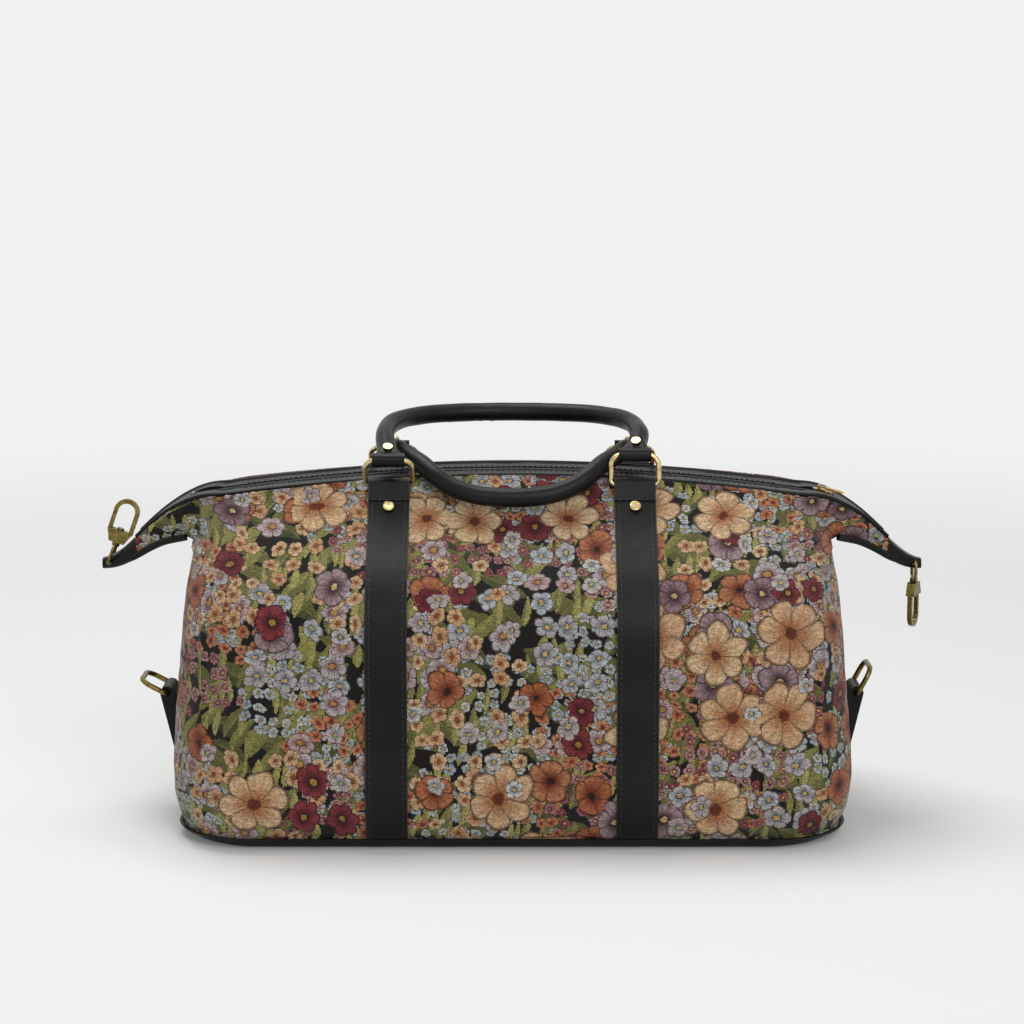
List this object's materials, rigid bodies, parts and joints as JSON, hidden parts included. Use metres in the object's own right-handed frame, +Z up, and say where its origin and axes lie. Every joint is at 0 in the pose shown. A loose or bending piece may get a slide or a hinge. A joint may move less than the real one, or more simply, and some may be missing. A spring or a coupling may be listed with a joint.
{
  "type": "carpet bag",
  "caption": "Floral tapestry weekend carpet bag with leather base, straps, rolled handles on rings, arched zip, side rings and snap hooks on winged ends.",
  "frame": {"origin": "middle of the flat base, on the floor", "axes": "+X along the bag to its right, -Y to its front, +Z up"},
  "size_m": [0.6321, 0.262, 0.3117],
  "materials": {
    "tapestry": "jacquard tapestry, many colours on a black ground",
    "black_leather": "black grained leather, satin",
    "zip_tape": "woven black tape",
    "zip_teeth": "black coil teeth",
    "bright_brass": "polished brass plate",
    "antique_brass": "antiqued brass",
    "base_stiffener": "fibre board inside the base"
  },
  "bodies": {
    "bag": {"front_panel": "tapestry", "back_panel": "tapestry", "left_end_panel": "tapestry", "right_end_panel": "tapestry", "base_panel": "black_leather", "base_board": "base_stiffener", "base_welt": "black_leather", "zip_gusset_front": "black_leather", "zip_gusset_rear": "black_leather", "zip_tape_front": "zip_tape", "zip_tape_rear": "zip_tape", "zip_teeth_front": "zip_teeth", "zip_teeth_rear": "zip_teeth", "zip_stops": "bright_brass", "wing_tip_left": "black_leather", "wing_tip_right": "black_leather", "strap_front_left": "black_leather", "strap_front_right": "black_leather", "strap_rear_left": "black_leather", "strap_rear_right": "black_leather", "strap_rivets": "bright_brass", "side_tab_left": "black_leather", "side_tab_right": "black_leather"},
    "zip_slider": {"zip_slider": "bright_brass"},
    "zip_puller": {"zip_puller": "bright_brass"},
    "ring_front_left": {"handle_ring_front_left": "bright_brass"},
    "ring_front_right": {"handle_ring_front_right": "bright_brass"},
    "ring_rear_left": {"handle_ring_rear_left": "bright_brass"},
    "ring_rear_right": {"handle_ring_rear_right": "bright_brass"},
    "handle_front": {"handle_front": "black_leather", "handle_rivets_front": "bright_brass"},
    "handle_rear": {"handle_rear": "black_leather", "handle_rivets_rear": "bright_brass"},
    "side_ring_left": {"side_ring_left": "antique_brass"},
    "side_ring_right": {"side_ring_right": "antique_brass"},
    "snap_eye_left": {"snap_eye_left": "antique_brass"},
    "snap_hook_left": {"snap_hook_left": "antique_brass", "snap_gate_pin_left": "antique_brass"},
    "snap_gate_left": {"snap_gate_left": "antique_brass"},
    "snap_eye_right": {"snap_eye_right": "antique_brass"},
    "snap_hook_right": {"snap_hook_right": "antique_brass", "snap_gate_pin_right": "antique_brass"},
    "snap_gate_right": {"snap_gate_right": "antique_brass"}
  },
  "joints": [
    {"name": "zip_slide", "type": "hinge", "parent": "bag", "child": "zip_slider", "pos_m": [0, 0, -1.29103], "axis": [0, 1, 0], "range_deg": [-16.9, 0]},
    {"name": "puller_flip", "type": "hinge", "parent": "zip_slider", "child": "zip_puller", "pos_m": [0.23607, 0, 0.25427], "axis": [0, 1, 0], "range_deg": [-165, 0]},
    {"name": "ring_front_left_swing", "type": "hinge", "parent": "bag", "child": "ring_front_left", "pos_m": [-0.092, -0.04692, 0.26329], "axis": [1, 0, 0], "range_deg": [0, 12]},
    {"name": "ring_front_right_swing", "type": "hinge", "parent": "bag", "child": "ring_front_right", "pos_m": [0.092, -0.04692, 0.26329], "axis": [1, 0, 0], "range_deg": [0, 12]},
    {"name": "handle_front_lift", "type": "hinge", "parent": "ring_front_left", "child": "handle_front", "pos_m": [-0.092, -0.05724, 0.28271], "axis": [0.9973, 0.0726, 0.0128], "range_deg": [0, 75]},
    {"name": "ring_rear_left_swing", "type": "hinge", "parent": "bag", "child": "ring_rear_left", "pos_m": [-0.092, 0.04692, 0.26329], "axis": [1, 0, 0], "range_deg": [-1.5, 0]},
    {"name": "ring_rear_right_swing", "type": "hinge", "parent": "bag", "child": "ring_rear_right", "pos_m": [0.092, 0.04692, 0.26329], "axis": [1, 0, 0], "range_deg": [-1.5, 0]},
    {"name": "handle_rear_lift", "type": "hinge", "parent": "ring_rear_left", "child": "handle_rear", "pos_m": [-0.092, 0.03277, 0.28014], "axis": [1, 0, 0], "range_deg": [-1.5, 0]},
    {"name": "side_ring_left_swing", "type": "hinge", "parent": "bag", "child": "side_ring_left", "pos_m": [-0.266, 0, 0.095], "axis": [0, 1, 0], "range_deg": [-20, 60]},
    {"name": "side_ring_right_swing", "type": "hinge", "parent": "bag", "child": "side_ring_right", "pos_m": [0.266, 0, 0.095], "axis": [0, 1, 0], "range_deg": [-20, 60]},
    {"name": "snap_eye_left_swing", "type": "hinge", "parent": "bag", "child": "snap_eye_left", "pos_m": [-0.31, 0, 0.1958], "axis": [0, 1, 0], "range_deg": [-60, 0]},
    {"name": "snap_eye_right_swing", "type": "hinge", "parent": "bag", "child": "snap_eye_right", "pos_m": [0.31, 0, 0.1958], "axis": [0, 1, 0], "range_deg": [-45, 45]},
    {"name": "snap_swivel_left", "type": "hinge", "parent": "snap_eye_left", "child": "snap_hook_left", "pos_m": [-0.31, 0, 0.1958], "axis": [0.342, 0, 0.9397], "continuous": true},
    {"name": "snap_gate_left_press", "type": "hinge", "parent": "snap_hook_left", "child": "snap_gate_left", "pos_m": [-0.30893, 0, 0.22095], "axis": [0, 1, 0], "range_deg": [0, 22], "stiffness_Nm_per_rad": 0.05, "springref_deg": -17.19},
    {"name": "snap_swivel_right", "type": "hinge", "parent": "snap_eye_right", "child": "snap_hook_right", "pos_m": [0.31, 0, 0.1958], "axis": [0, 0, -1], "continuous": true},
    {"name": "snap_gate_right_press", "type": "hinge", "parent": "snap_hook_right", "child": "snap_gate_right", "pos_m": [0.31321, 0.00689, 0.1718], "axis": [-0.9063, 0.4226, 0], "range_deg": [0, 22], "stiffness_Nm_per_rad": 0.05, "springref_deg": -17.19}
  ],
  "couplings": [
    {"joint": "ring_front_right_swing", "follows": "ring_front_left_swing", "ratio": 1},
    {"joint": "ring_rear_right_swing", "follows": "ring_rear_left_swing", "ratio": 1}
  ]
}
